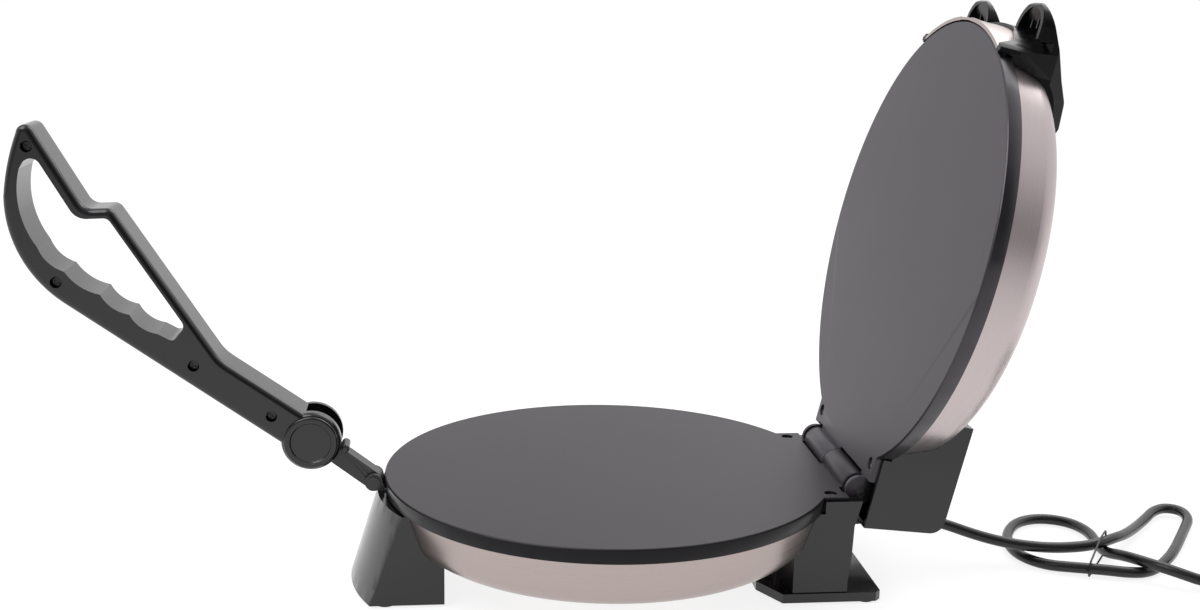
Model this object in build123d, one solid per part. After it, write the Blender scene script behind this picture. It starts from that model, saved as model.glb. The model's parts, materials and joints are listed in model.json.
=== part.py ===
from build123d import *
import math
import os

# Electric roti maker, millimetres. +Z up, table at z = 0, plate axis at x = y = 0.
# +X runs along the hinge pin, -Y is the lever side, +Y the hinge side.
# The lid is modelled shut and is then opened about the hinge pin, which is its rest.

# ---------------------------------------------------------------- plates and hinge
PLATE_TOP = 61.5          # lower cooking face over the table
PLATE_R = 127.0           # radius of both cooking plates (254 mm across)
PLATE_THICK = 5.5
PLATE_CHAMFER = 0.8
PLATE_GAP = 1.0           # between the cooking faces when shut
SKIRT_DEPTH = 8.25        # from the cooking face to the skirt's edge
SKIRT_WALL = 4.0
SKIRT_DRAFT = 0.7         # the skirt's edge is this much smaller than its top
HINGE_Y = 134.3
BARREL_R = 8.0
PIN_R = 3.0
RUN_FIT = 0.05            # radial clearance of running fits
SEAT_GAP = 0.3            # beside a face that is only located, not pressed
LID_OPEN = 103.0          # opening angle at rest, degrees
TAB_HALF = 58.5           # half width of the hinge tab
TAB_EDGE = 8.3            # tab edge to hinge axis
SLOT_EDGE = 9.8           # bottom of the knuckle slots to hinge axis
EAR_OUT = 50.0            # outer face of the hinge ears
EAR_IN = 42.6             # inner face of the hinge ears
KNUCKLE_SIDE = 0.3        # half the gap between the two middle knuckles
SIDE_GAP = 0.6            # between a knuckle and the ear beside it
EAR_DISC = 3.2            # thickness of an ear's end disc
PIN_CAP = 1.2             # metal left over the pin's near end
EAR_POCKET = 3.6          # width of the pocket beside the end disc
EAR_POCKET_DEPTH = 3.0

# ---------------------------------------------------------------- shells
SHELL_WALL = 0.8
SHELL_TOP_R = 124.0       # outer radius where the shell meets the skirt
SHELL_CORNER_R = 115.5
SHELL_CORNER_H = 35.5
SHELL_FLAT_R = 57.5
SHELL_DEPTH = 48.0        # cooking face to the flat bottom
SHELL_CORNER_FILLET = 17.0
SHELL_FLAT_FILLET = 20.0
FOOT_SEAT = 0.1           # between the shell and what is screwed to it

# ---------------------------------------------------------------- heating parts
ELEMENT_R = 85.0
ELEMENT_TUBE = 3.4        # tube radius
ELEMENT_H = 8.6           # tube centre below the cooking face
ELEMENT_SEAT = 0.1
ELEMENT_GAP_HALF = 9.0    # half the gap between the tube's two ends, degrees
TERMINAL_LENGTH = 14.0
TERMINAL_R = 1.5
BOSS_WIDTH = 9.0          # radial half width of the boss ring that holds the tube
BOSS_DEPTH = 12.0         # cooking face to the boss ring's edge
CLAMP_INNER_R = 58.0
CLAMP_OUTER_R = 96.0
CLAMP_T = 1.2
CLAMP_SCREW_R = 66.0
CLAMP_SCREW_BOSS = 5.0
POST_R_POS = 40.0         # radius of the circle of posts
POST_R = 4.0
POST_NECK_R = 2.9
SHIELD_H = 26.0
SHIELD_T = 0.6
SHIELD_R = 112.0
THERMOSTAT_R = 8.0
THERMOSTAT_H = 9.0
FUSE_R = 2.0
FUSE_LENGTH = 12.0
WIRE_R = 1.3

# ---------------------------------------------------------------- fasteners
M4_HEAD_R = 3.6
M4_HEAD_T = 2.2
M4_SHANK_R = 1.8
TAB_SCREW_X = 51.6
TAB_SCREW_TO_HINGE = 16.9
TAB_HEAD_R = 3.2
TAB_HEAD_T = 2.0
TAB_HEAD_SINK = 1.4       # head top below the cooking face

# ---------------------------------------------------------------- front foot and link
FOOT_WALL = 2.5
FRONT_AXIS_Y = -37.0      # vertical axis of the front foot's cone
FRONT_TOP_Z = 52.0
FRONT_TOP_R = 94.2
FRONT_BOTTOM_R = 109.6
FRONT_HALF = 50.5
FRONT_BACK_Y = -94.0
FEET_Z = 1.5              # underside of the mouldings over the table
PAD_R = 6.0               # rubber foot
PAD_STEM_R = 2.5
PAD_STEM = 2.0
LINK_PIVOT_Y = -133.0
LINK_PIVOT_Z = 57.1
LINK_LENGTH = 42.5        # pivot to hub
LINK_ANGLE = 142.45       # direction of the bar at rest, from +Y towards +Z
BAR_HALF = 5.5
BAR_HEIGHT = 10.2
BAR_PIVOT_END_R = 5.1
BAR_HUB_END_R = 7.5
CHEEK_GAP = 0.7           # bar to bracket cheek
CHEEK_T = 2.0
CHEEK_R = 5.0
BRACKET_FLOOR_Z = 44.5
LINK_PIN_R = 2.5
SLOT_BACK_Y = -124.6
SLOT_FRONT_Y = -130.0
BRACKET_Y = (SLOT_FRONT_Y + SLOT_BACK_Y) / 2
BRACKET_SCREW_X = (-3.0, 3.0)
BRACKET_SCREW_R = 1.2
STOP_PIN_R = 2.4
STOP_PIN_ALONG = 18.2     # from the hub towards the bracket
STOP_PIN_UP = 6.0
STOP_PIN_HALF = 7.3
STOP_PIN_ROUND = 1.6

# ---------------------------------------------------------------- rear foot
REAR_HALF = 60.5
REAR_TOP_Z = 59.5
REAR_STEP_Z = 52.5        # the column's top steps forward here, under the skirt
REAR_FRONT_Y = 112.8
REAR_BACK_Y = 133.3
REAR_BACK_LOW_Y = 128.7
REAR_INNER_Y = 96.5       # front of the column under the shell
REAR_FLANGE_T = 5.2
REAR_FLANGE_FRONT_Y = 80.0
REAR_FLANGE_BACK_Y = 146.5
REAR_BOSS_R = 4.0
GROMMET_AT = (102.0, 90.0)
GROMMET_R = 5.0
GROMMET_LIP = 1.6
GROMMET_LIP_T = 1.2
HATCH_HALF = 51.0         # opening in the rear wall's top for the hinge
HATCH_Z = 52.0

# ---------------------------------------------------------------- lid fittings
COVER_HALF = 60.8
COVER_BACK = 17.3         # rear edge behind the hinge axis
COVER_BACK_TOP = 12.0
COVER_RIM_H = 3.8         # open edge, measured from the cooking face
COVER_TOP_H = 47.8
COVER_FRONT = 50.0        # from the hinge axis towards the plate axis
COVER_WALL = 2.5
LID_SCREW_R = 98.0
COVER_SCREWS = [(LID_SCREW_R, 90 - 20.0), (LID_SCREW_R, 90 + 20.0)]
SADDLE_SCREWS = [(LID_SCREW_R, -90 - 20.0), (LID_SCREW_R, -90 + 20.0)]
BAND_T = 1.4
BAND_GAP = 0.6            # plate's rim to the band
BAND_R = PLATE_R + BAND_GAP
BAND_HALF_ANGLE = 26.5
BAND_H = 24.0
HEM_H = 1.5
HEM_EXTRA = 0.4
HEM_NOTCH_HALF = 8.0
SADDLE_SEAT = 0.25
ARM_T = 2.0
ARM_OUT_R = BAND_R + BAND_T + ARM_T
ARM_END_ANGLE = 28.0
ARM_TOP_H = 34.0
LOW_BODY_ANGLE = 20.5
SADDLE_HALF = 56.0
ARM_SIDE = 58.6           # half width over the band's ends
TAIL_HALF = 42.0          # half width of the saddle's lower end on the shell
EAR_GAP_HALF = 21.0
EAR_TOP_R = 143.7         # ear tips in front of the plate axis
EAR_PEAK_X = 40.0
EAR_IN_Y = 127.0          # where the ear's inner side starts to curve
EAR_OUT_Y = 131.0
WEB_T = 2.5
EAR_SCOOP = 8.0
EAR_WALL = 3.0

# ---------------------------------------------------------------- handle
HANDLE_HALF = 14.0
HANDLE_ANGLE = 144.6      # direction at rest, from +Y towards +Z
SEAM_X = -2.5
FORK_HALF = 7.5
FORK_DEPTH = 11.5
FORK_R = 16.4
HANDLE_EDGE = 3.5         # rounding of the handle's outer edges
HUB_CAP_R = 14.7
HUB_POCKET_R = 15.0
HUB_POCKET = 1.5
HUB_OUT = 15.5            # outer face of the caps
HUB_DISH_R = 11.4
HUB_DISH = 0.8
AXLE_R = 4.0
WASHER_R = 7.0
HANDLE_SCREW_R = 3.1
SCREW_SINK = 5.0
SCREW_CORE_R = 1.5
HANDLE_SCREWS = [(209.0, 50.4), (158.7, -1.9), (75.6, 0.4), (25.8, 0.3)]

# ---------------------------------------------------------------- cord
CORD_D = 6.4
CORD_EXIT_Z = 28.0
RELIEF_LENGTH = 30.0
TABLE_LIFT = 0.1          # the cord's lowest point over the table

HINGE_Z = PLATE_TOP + PLATE_GAP / 2
NODES = {}


def keep(name, shape):
    """Store one node's solids under its name."""
    NODES[name] = shape


# ================================================================= common helpers
def flip(shape):
    """Turn a piece of the lower half over into its place in the shut lid."""
    return shape.rotate(Axis((0, 0, HINGE_Z), (0, 1, 0)), 180)


def open_lid(shape):
    """Swing a piece of the shut lid open about the hinge pin."""
    return shape.rotate(Axis((0, HINGE_Y, HINGE_Z), (1, 0, 0)), -LID_OPEN)


def lid(shape):
    return open_lid(flip(shape))


def depth(h):
    """Height of a point that lies h below the lower cooking face."""
    return PLATE_TOP - h


def cyl(radius, z_low, z_high, x=0.0, y=0.0):
    return Pos(x, y, (z_low + z_high) / 2) * Cylinder(radius, z_high - z_low)


def block(x_low, x_high, y_low, y_high, z_low, z_high):
    centre = Pos((x_low + x_high) / 2, (y_low + y_high) / 2, (z_low + z_high) / 2)
    return centre * Box(x_high - x_low, y_high - y_low, z_high - z_low)


def x_cyl(radius, x_low, x_high, y, z):
    """Cylinder along X."""
    turned = Rot(0, 90, 0) * Cylinder(radius, x_high - x_low)
    return Pos((x_low + x_high) / 2, y, z) * turned


def turned_face(points):
    """Revolve a closed outline of (radius, height) points about the plate axis."""
    outline = make_face(Polyline([(r, 0, z) for r, z in points], close=True))
    return revolve(outline, Axis.Z, 360)


def side_face(points, radii=None):
    """Closed face in the YZ plane from (y, z) corners, each with its own rounding."""
    corners = [(0, y, z) for y, z in points]
    radii = radii or [0] * len(corners)
    return make_face(FilletPolyline(corners, radius=radii, close=True))


def slab(face, x_low, x_high):
    """Extrude a YZ face from x_low to x_high."""
    return Pos(x_low, 0, 0) * extrude(face, amount=x_high - x_low, dir=(1, 0, 0))


def grown(points, grow):
    """Move an open outline of (radius, depth) points outwards by grow."""
    lines = []
    for (r0, h0), (r1, h1) in zip(points, points[1:]):
        length = math.hypot(r1 - r0, h1 - h0)
        nr, nh = -(h1 - h0) / length * grow, (r1 - r0) / length * grow
        lines.append(((r0 + nr, h0 + nh), (r1 + nr, h1 + nh)))
    result = [lines[0][0]]
    for ((ar, ah), (br, bh)), ((cr, ch), (dr, dh)) in zip(lines, lines[1:]):
        cross = (br - ar) * (dh - ch) - (bh - ah) * (dr - cr)
        t = ((cr - ar) * (dh - ch) - (ch - ah) * (dr - cr)) / cross
        result.append((ar + t * (br - ar), ah + t * (bh - ah)))
    result.append(lines[-1][1])
    return result


SHELL_OUTLINE = [
    (0.0, SHELL_DEPTH),
    (SHELL_FLAT_R, SHELL_DEPTH),
    (SHELL_CORNER_R, SHELL_CORNER_H),
    (SHELL_TOP_R, SKIRT_DEPTH),
]


def shell_body(grow, top=SKIRT_DEPTH):
    """Solid of the shell's outer form, grown by grow, up to depth top."""
    points = grown(SHELL_OUTLINE, grow)
    (r0, h0), (r1, h1) = points[-2:]
    points[-1] = (r1 + (top - h1) * (r1 - r0) / (h1 - h0), top)
    radii = [SHELL_FLAT_FILLET + grow, SHELL_CORNER_FILLET + grow]
    path = FilletPolyline([(r, 0, depth(h)) for r, h in points], radius=radii)
    back = Polyline(path @ 1, (0, 0, depth(top)), path @ 0)
    return revolve(make_face(path.edges() + back.edges()), Axis.Z, 360)


CONE_SLOPE = math.degrees(
    math.atan2(SHELL_DEPTH - SHELL_CORNER_H, SHELL_CORNER_R - SHELL_FLAT_R)
)


def cone_depth(radius):
    """Depth of the shell's outer surface on its conical stretch."""
    share = (radius - SHELL_FLAT_R) / (SHELL_CORNER_R - SHELL_FLAT_R)
    return SHELL_DEPTH - share * (SHELL_DEPTH - SHELL_CORNER_H)


def on_cone(radius, angle, shape):
    """Place a shape whose +Z points out of the shell at its conical stretch."""
    place = Rot(0, 0, angle) * Pos(radius, 0, depth(cone_depth(radius)))
    return place * Rot(0, 180 - CONE_SLOPE, 0) * shape


def ring_places(count, radius, start):
    for i in range(count):
        angle = math.radians(start + i * 360.0 / count)
        yield radius * math.cos(angle), radius * math.sin(angle)


def screw(head_r, head_t, shank_r, length):
    """Screw with its head's underside at z = 0 and its shank along +Z."""
    head = cyl(head_r, -head_t, 0)
    return fillet(head.edges().sort_by(Axis.Z)[0], head_t * 0.4) + cyl(shank_r, 0, length)


# ================================================================= cooking plates
CLAMP_SCREWS = list(ring_places(4, CLAMP_SCREW_R, 45.0))
POSTS = list(ring_places(3, POST_R_POS, 90.0))
POST_BOSS_R = 6.0
STUD_R = 1.8
STUD_LENGTH = 5.0


def hinge_ear(x_low, x_high, disc_low):
    """End ear of the hinge: a barrel with a pocket beside its end disc."""
    barrel = x_cyl(BARREL_R, x_low, x_high, HINGE_Y, HINGE_Z)
    pocket_low = disc_low + EAR_DISC
    ring = x_cyl(BARREL_R + 1, pocket_low, pocket_low + EAR_POCKET, HINGE_Y, HINGE_Z)
    core = x_cyl(BARREL_R - EAR_POCKET_DEPTH, x_low, x_high, HINGE_Y, HINGE_Z)
    return barrel - (ring - core)


def knuckle_root(x_low, x_high):
    return block(x_low, x_high, HINGE_Y - SLOT_EDGE - 2, HINGE_Y, depth(SKIRT_DEPTH), PLATE_TOP)


def cooking_plate():
    edge_r = PLATE_R - SKIRT_DRAFT
    under = depth(PLATE_THICK)
    plate = turned_face([
        (0, PLATE_TOP),
        (PLATE_R - PLATE_CHAMFER, PLATE_TOP),
        (PLATE_R, PLATE_TOP - PLATE_CHAMFER),
        (edge_r, depth(SKIRT_DEPTH)),
        (edge_r - SKIRT_WALL, depth(SKIRT_DEPTH)),
        (edge_r - SKIRT_WALL - 0.5, under),
        (0, under),
    ])
    tab = block(-TAB_HALF, TAB_HALF, 0, HINGE_Y - TAB_EDGE, depth(SKIRT_DEPTH), PLATE_TOP)
    tab -= cyl(edge_r - SKIRT_WALL, 0, PLATE_TOP)
    plate += tab
    knuckle = x_cyl(BARREL_R, KNUCKLE_SIDE, EAR_IN - SIDE_GAP, HINGE_Y, HINGE_Z)
    slot_front = HINGE_Y - SLOT_EDGE
    slot_top = PLATE_TOP + 1
    plate -= block(-EAR_IN, KNUCKLE_SIDE, slot_front, HINGE_Y, 0, slot_top)
    plate -= block(EAR_IN - SIDE_GAP, EAR_OUT + SIDE_GAP, slot_front, HINGE_Y, 0, slot_top)
    plate += knuckle_root(KNUCKLE_SIDE, EAR_IN - SIDE_GAP) + knuckle
    plate += knuckle_root(-EAR_OUT, -EAR_IN) + hinge_ear(-EAR_OUT, -EAR_IN, -EAR_OUT)
    ring = cyl(ELEMENT_R + BOSS_WIDTH, depth(BOSS_DEPTH), under)
    plate += ring - cyl(ELEMENT_R - BOSS_WIDTH, depth(BOSS_DEPTH), under)
    plate += [cyl(CLAMP_SCREW_BOSS, depth(BOSS_DEPTH), under, x, y) for x, y in CLAMP_SCREWS]
    plate += [cyl(POST_BOSS_R, depth(BOSS_DEPTH), under, x, y) for x, y in POSTS]
    groove_r = ELEMENT_TUBE + ELEMENT_SEAT
    groove = Pos(0, 0, depth(ELEMENT_H)) * Torus(ELEMENT_R, groove_r)
    mouth = cyl(ELEMENT_R + groove_r, depth(BOSS_DEPTH), depth(ELEMENT_H))
    mouth -= cyl(ELEMENT_R - groove_r, depth(BOSS_DEPTH), depth(ELEMENT_H))
    plate -= groove + mouth
    hole_top = depth(BOSS_DEPTH - STUD_LENGTH - 0.5)
    for x, y in POSTS + CLAMP_SCREWS:
        plate -= cyl(STUD_R + RUN_FIT, depth(BOSS_DEPTH), hole_top, x, y)
    for side in (-1, 1):
        x, y = side * TAB_SCREW_X, HINGE_Y - TAB_SCREW_TO_HINGE
        plate -= cyl(M4_SHANK_R + RUN_FIT, 0, PLATE_TOP, x, y)
        head_seat = PLATE_TOP - TAB_HEAD_SINK - TAB_HEAD_T
        plate -= cyl(TAB_HEAD_R + 0.3, head_seat, PLATE_TOP, x, y)
    return plate


def bored(plate, tight):
    """Bore the hinge; where tight is true the far ear grips the pin and the near one caps it."""
    far = -EAR_IN if tight else -EAR_OUT - 1
    near = EAR_OUT - PIN_CAP if tight else EAR_OUT + 1
    plate -= x_cyl(PIN_R + RUN_FIT, far, near, HINGE_Y, HINGE_Z)
    return plate - x_cyl(PIN_R, -EAR_OUT - 1, far + 1, HINGE_Y, HINGE_Z)


def tab_screws(reach):
    group = []
    for side in (-1, 1):
        top = PLATE_TOP - TAB_HEAD_SINK
        y = HINGE_Y - TAB_SCREW_TO_HINGE
        one = Rot(180, 0, 0) * screw(TAB_HEAD_R, TAB_HEAD_T, M4_SHANK_R, reach)
        one -= block(-3, 3, -0.4, 0.4, TAB_HEAD_T - 0.8, TAB_HEAD_T)
        group.append(Pos(side * TAB_SCREW_X, y, top - TAB_HEAD_T) * one)
    return Compound(children=group)


# ================================================================= heating parts
def heating_element():
    """Tubular element, a near ring with a terminal pin at each end."""
    sweep_angle = 360 - 2 * ELEMENT_GAP_HALF
    start = 90 + ELEMENT_GAP_HALF
    section = Plane.XZ * Pos(ELEMENT_R, depth(ELEMENT_H)) * Circle(ELEMENT_TUBE)
    tube = Rot(0, 0, start) * revolve(section, Axis.Z, sweep_angle)
    for side in (-1, 1):
        angle = 90 + side * ELEMENT_GAP_HALF
        pin = Rot(90, 0, 0) * Cylinder(TERMINAL_R, TERMINAL_LENGTH)
        shift = -side * (TERMINAL_LENGTH / 2 - 3)
        tube += Rot(0, 0, angle) * Pos(ELEMENT_R, shift, depth(ELEMENT_H)) * pin
    return tube


def element_clamp():
    ring = cyl(CLAMP_OUTER_R, depth(BOSS_DEPTH + CLAMP_T), depth(BOSS_DEPTH))
    ring -= cyl(CLAMP_INNER_R, 0, PLATE_TOP)
    for x, y in CLAMP_SCREWS:
        ring -= cyl(STUD_R + 0.2, 0, PLATE_TOP, x, y)
    return ring - block(-18, 18, CLAMP_INNER_R + 8, CLAMP_OUTER_R - 6, 0, PLATE_TOP)


def clamp_screws():
    one = screw(M4_HEAD_R, M4_HEAD_T, STUD_R, CLAMP_T + STUD_LENGTH)
    seat = depth(BOSS_DEPTH + CLAMP_T)
    return Compound(children=[Pos(x, y, seat) * one for x, y in CLAMP_SCREWS])


def posts():
    """Shouldered posts that carry the heat shield and take the shell's screws."""
    foot = depth(SHELL_DEPTH - SHELL_WALL)
    group = []
    for x, y in POSTS:
        post = cyl(POST_R, foot, depth(SHIELD_H + SHIELD_T), x, y)
        post += cyl(POST_NECK_R, depth(SHIELD_H + SHIELD_T), depth(BOSS_DEPTH), x, y)
        post += cyl(STUD_R, depth(BOSS_DEPTH), depth(BOSS_DEPTH - STUD_LENGTH), x, y)
        post -= cyl(STUD_R + RUN_FIT, foot, foot + 9, x, y)
        group.append(post)
    return Compound(children=group)


def shell_screws():
    one = screw(M4_HEAD_R, M4_HEAD_T, STUD_R, SHELL_WALL + 8)
    return Compound(children=[Pos(x, y, depth(SHELL_DEPTH)) * one for x, y in POSTS])


def heat_shield():
    disc = cyl(SHIELD_R, depth(SHIELD_H + SHIELD_T), depth(SHIELD_H))
    for x, y in POSTS:
        disc -= cyl(POST_NECK_R + 0.1, 0, PLATE_TOP, x, y)
    disc -= block(-18, 18, 74, 96, 0, PLATE_TOP)
    return disc - cyl(THERMOSTAT_R + 3, 0, PLATE_TOP)


def thermostat():
    top = depth(PLATE_THICK)
    body = cyl(THERMOSTAT_R, top - THERMOSTAT_H, top)
    flange = block(-14, 14, -4, 4, top - 1.2, top)
    blades = block(-5.5, -4.5, -2, 2, top - THERMOSTAT_H - 6, top - THERMOSTAT_H)
    blades += block(4.5, 5.5, -2, 2, top - THERMOSTAT_H - 6, top - THERMOSTAT_H)
    return body + flange + blades


def dished_shell(screw_places):
    """Drawn steel dish, drilled for the posts' screws and for fittings on its cone."""
    dish = shell_body(0) - shell_body(-SHELL_WALL)
    for x, y in POSTS:
        dish -= cyl(STUD_R + 0.2, 0, depth(SHELL_DEPTH / 2), x, y)
    for radius, angle in screw_places:
        dish -= on_cone(radius, angle, cyl(M4_SHANK_R + 0.2, -5, 5))
    return dish


def cone_screws(places, length):
    """Screws from inside the shell, heads on its inner face, pointing outwards."""
    one = Pos(0, 0, -SHELL_WALL - 0.1) * screw(M4_HEAD_R, M4_HEAD_T, M4_SHANK_R - RUN_FIT, length)
    return Compound(children=[on_cone(radius, angle, one) for radius, angle in places])


# ================================================================= feet
FOOT_BOSS_R = 5.0
CONE_SCREW_R = 101.0      # radius at which screws cross the shell's cone
FRONT_SCREWS = [(CONE_SCREW_R, -90 - 15.0), (CONE_SCREW_R, -90 + 15.0)]
REAR_SCREWS = [(CONE_SCREW_R, 90 - 13.0), (CONE_SCREW_R, 90 + 13.0)]
FOOT_HOLE = 11.0
SHORT_HOLE = 6.5
FRONT_PADS = [(-43.0, -126.0), (43.0, -126.0)]
REAR_PADS = [(-54.0, 139.0), (54.0, 139.0)]
SLOT_HALF = 8.5
POCKET_WALL = 2.5


def front_cone(inset, z_low, z_high):
    """Part of the front foot's leaning cone between two heights."""
    lean = (FRONT_BOTTOM_R - FRONT_TOP_R) / (FRONT_TOP_Z - FEET_Z)
    low = FRONT_BOTTOM_R - lean * (z_low - FEET_Z) - inset
    high = FRONT_BOTTOM_R - lean * (z_high - FEET_Z) - inset
    return Pos(0, FRONT_AXIS_Y, (z_low + z_high) / 2) * Cone(low, high, z_high - z_low)


BOSS_ROOT = 4.0


def cone_boss(places, length):
    """Blind bosses for the cone's screws; they start inside the shell and are cut to it."""
    boss = cyl(FOOT_BOSS_R, -BOSS_ROOT, length)
    return [on_cone(radius, angle, boss) for radius, angle in places]


def cone_holes(places, length):
    hole = cyl(M4_SHANK_R, 0, length)
    return [on_cone(radius, angle, hole) for radius, angle in places]


def front_foot():
    reach = PLATE_R + 30
    front = block(-FRONT_HALF, FRONT_HALF, -reach, FRONT_BACK_Y, FEET_Z, FRONT_TOP_Z)
    foot = front_cone(0, FEET_Z, FRONT_TOP_Z) & front
    top = FRONT_TOP_Z - FOOT_WALL
    floor = FEET_Z + FOOT_WALL
    side = FRONT_HALF - FOOT_WALL
    inner = front_cone(FOOT_WALL, floor, top) & block(-side, side, -reach, 0, floor, top)
    pocket_half = SLOT_HALF + POCKET_WALL
    pocket_floor = BRACKET_FLOOR_Z - POCKET_WALL
    inner -= block(-pocket_half, pocket_half, -reach, SLOT_BACK_Y + 6, pocket_floor, top)
    foot -= inner
    foot += front_cone(FOOT_WALL, floor, top) & Compound(
        children=cone_boss(FRONT_SCREWS, depth(cone_depth(CONE_SCREW_R)) - floor)
    )
    foot -= shell_body(FOOT_SEAT, 0)
    foot -= block(-SLOT_HALF, SLOT_HALF, SLOT_FRONT_Y, SLOT_BACK_Y, BRACKET_FLOOR_Z, FRONT_TOP_Z)
    foot -= cone_holes(FRONT_SCREWS, FOOT_HOLE)
    for x in BRACKET_SCREW_X:
        foot -= cyl(BRACKET_SCREW_R, BRACKET_FLOOR_Z - 6, BRACKET_FLOOR_Z, x, BRACKET_Y)
    for x, y in FRONT_PADS:
        foot -= cyl(PAD_STEM_R + RUN_FIT, FEET_Z, FEET_Z + PAD_STEM, x, y)
    return foot


def rear_column(inset, z_low):
    """Side form of the rear foot's column, inset on its front and back."""
    roof = depth(SKIRT_DEPTH) - inset if inset else REAR_TOP_Z
    points = [
        (REAR_INNER_Y + inset, z_low),
        (REAR_INNER_Y + inset, REAR_STEP_Z - 13 - inset),
        (109.5 + inset, REAR_STEP_Z - inset),
        (REAR_FRONT_Y + inset, REAR_STEP_Z - inset),
        (REAR_FRONT_Y + inset, roof),
        (REAR_BACK_Y - inset, roof),
        (129.4 - inset, 45.1),
        (REAR_BACK_LOW_Y - inset, 26.5),
        (REAR_BACK_LOW_Y - 1.5 - inset, 13.5),
        (REAR_BACK_LOW_Y - 1.5 - inset, z_low),
    ]
    return side_face(points)


TERMINAL_HALF = 15.0
TERMINAL_FRONT_Y = 106.0
TERMINAL_BACK_Y = 118.0
TERMINAL_LOW_Z = 6.0
TERMINAL_HIGH_Z = 16.0
RELIEF_HOLE_R = 5.0


def flange(z_low, z_high, inset=0.0):
    half = REAR_HALF + 1.0 - inset
    front = REAR_FLANGE_FRONT_Y + inset
    back = REAR_FLANGE_BACK_Y - inset
    right = [(42, front), (half, front + 11), (half, back - 3), (half - 3, back)]
    left = [(-x, y) for x, y in reversed(right)]
    outline = make_face(Polyline(right + left, close=True))
    return Pos(0, 0, z_low) * extrude(outline, amount=z_high - z_low)


def rear_foot():
    foot = slab(rear_column(0, FEET_Z), -REAR_HALF, REAR_HALF)
    foot += flange(FEET_Z, FEET_Z + REAR_FLANGE_T)
    foot -= flange(0, FEET_Z + REAR_FLANGE_T - FOOT_WALL, FOOT_WALL)
    side = REAR_HALF - FOOT_WALL
    foot -= slab(rear_column(FOOT_WALL, 0), -side, side)
    foot += [cyl(PAD_R + 1, FEET_Z, FEET_Z + REAR_FLANGE_T, x, y) for x, y in REAR_PADS]
    back = REAR_BACK_LOW_Y - FOOT_WALL
    foot += block(-17, 17, TERMINAL_BACK_Y, back, TERMINAL_LOW_Z - 2, TERMINAL_HIGH_Z + 1)
    tab_y = HINGE_Y - TAB_SCREW_TO_HINGE
    for x in (-TAB_SCREW_X, TAB_SCREW_X):
        foot += cyl(REAR_BOSS_R, 36, depth(SKIRT_DEPTH), x, tab_y)
    foot += cone_boss(REAR_SCREWS, FOOT_HOLE + 2)
    foot -= shell_body(FOOT_SEAT, 0)
    foot -= cyl(PLATE_R + SEAT_GAP, depth(SKIRT_DEPTH), REAR_TOP_Z)
    tab_half = TAB_HALF + SEAT_GAP
    tab_back = HINGE_Y - TAB_EDGE + SEAT_GAP
    foot -= block(-tab_half, tab_half, 90, tab_back, depth(SKIRT_DEPTH), REAR_TOP_Z)
    foot -= block(-HATCH_HALF, HATCH_HALF, 120, REAR_BACK_Y, HATCH_Z, REAR_TOP_Z)
    relief = Rot(90, 0, 0) * Cylinder(RELIEF_HOLE_R, 12)
    holes = [cyl(M4_SHANK_R, 39, depth(SKIRT_DEPTH), side * TAB_SCREW_X, tab_y) for side in (-1, 1)]
    holes += [cyl(PAD_STEM_R + RUN_FIT, FEET_Z, FEET_Z + PAD_STEM, x, y) for x, y in REAR_PADS]
    holes += [Pos(0, REAR_BACK_LOW_Y, CORD_EXIT_Z) * relief]
    foot -= holes
    foot -= cone_holes(REAR_SCREWS, FOOT_HOLE)
    foot -= on_cone(*GROMMET_AT, cyl(GROMMET_R + GROMMET_LIP + 0.6, -BOSS_ROOT, GROMMET_LIP_T + 0.8))
    return foot




def rubber_feet():
    pads = []
    for x, y in FRONT_PADS + REAR_PADS:
        pad = cyl(PAD_R, 0, FEET_Z, x, y)
        pad = chamfer(pad.edges().group_by(Axis.Z)[0], 0.5)
        pads.append(pad + cyl(PAD_STEM_R, FEET_Z, FEET_Z + PAD_STEM, x, y))
    return Compound(children=pads)


# ================================================================= link and bracket
BRACKET_DEPTH_HALF = (SLOT_BACK_Y - SLOT_FRONT_Y) / 2 - 0.2


def link_bracket():
    """Steel U whose cheeks carry the link's pin."""
    inner = BAR_HALF + CHEEK_GAP
    outer = inner + CHEEK_T
    low = BRACKET_Y - BRACKET_DEPTH_HALF
    high = BRACKET_Y + BRACKET_DEPTH_HALF
    disc = x_cyl(CHEEK_R, -outer, outer, LINK_PIVOT_Y, LINK_PIVOT_Z)
    leg = block(-outer, outer, low, high, BRACKET_FLOOR_Z, LINK_PIVOT_Z - 4)
    neck = side_face([
        (low, FRONT_TOP_Z + 0.2),
        (high, FRONT_TOP_Z + 0.2),
        (LINK_PIVOT_Y + CHEEK_R - 0.1, LINK_PIVOT_Z),
        (LINK_PIVOT_Y, LINK_PIVOT_Z + CHEEK_R - 1),
        (LINK_PIVOT_Y - CHEEK_R + 0.5, LINK_PIVOT_Z - 2),
    ])
    body = disc + leg + slab(neck, -outer, outer)
    body -= block(-inner, inner, -200, -100, BRACKET_FLOOR_Z + CHEEK_T, 100)
    body -= x_cyl(LINK_PIN_R, -outer - 1, outer + 1, LINK_PIVOT_Y, LINK_PIVOT_Z)
    body -= cyl(PLATE_R + SEAT_GAP, depth(SKIRT_DEPTH), PLATE_TOP)
    for x in BRACKET_SCREW_X:
        body -= cyl(BRACKET_SCREW_R + 0.1, 0, 60, x, BRACKET_Y)
    return body


def link_bracket_screws():
    one = Rot(180, 0, 0) * screw(2.2, 1.3, BRACKET_SCREW_R, CHEEK_T + 5.5)
    seat = BRACKET_FLOOR_Z + CHEEK_T
    return Compound(children=[Pos(x, BRACKET_Y, seat) * one for x in BRACKET_SCREW_X])


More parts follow.
